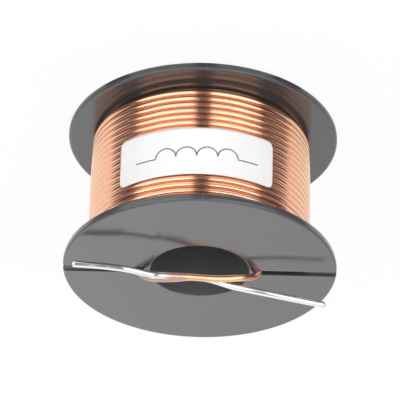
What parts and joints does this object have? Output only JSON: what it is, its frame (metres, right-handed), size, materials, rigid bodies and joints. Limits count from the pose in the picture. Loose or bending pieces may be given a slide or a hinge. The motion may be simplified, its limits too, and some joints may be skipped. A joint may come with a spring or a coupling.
{
  "type": "air core inductor",
  "caption": "Air core inductor: a coil of enamelled copper wire on a flanged plastic bobbin, with two stiff tinned wire ends for wiring into a circuit.",
  "frame": {"origin": "centre of the bore at the outer face of the plain flange, which the part stands on", "axes": "+Z runs along the bore to the flange with the wire slots; the slots lie along X, the narrow one with the start lead at -X; the label faces -Y"},
  "size_m": [0.05, 0.05, 0.035],
  "materials": {
    "bobbin_plastic": "semi-gloss black moulding",
    "copper_wire": "copper under clear enamel",
    "tinned_lead": "tinned copper wire",
    "label_paper": "matt white paper"
  },
  "bodies": {
    "root": {"bobbin": "bobbin_plastic", "winding": "copper_wire", "start_lead": "tinned_lead", "finish_lead": "tinned_lead", "label": "label_paper"}
  },
  "joints": []
}
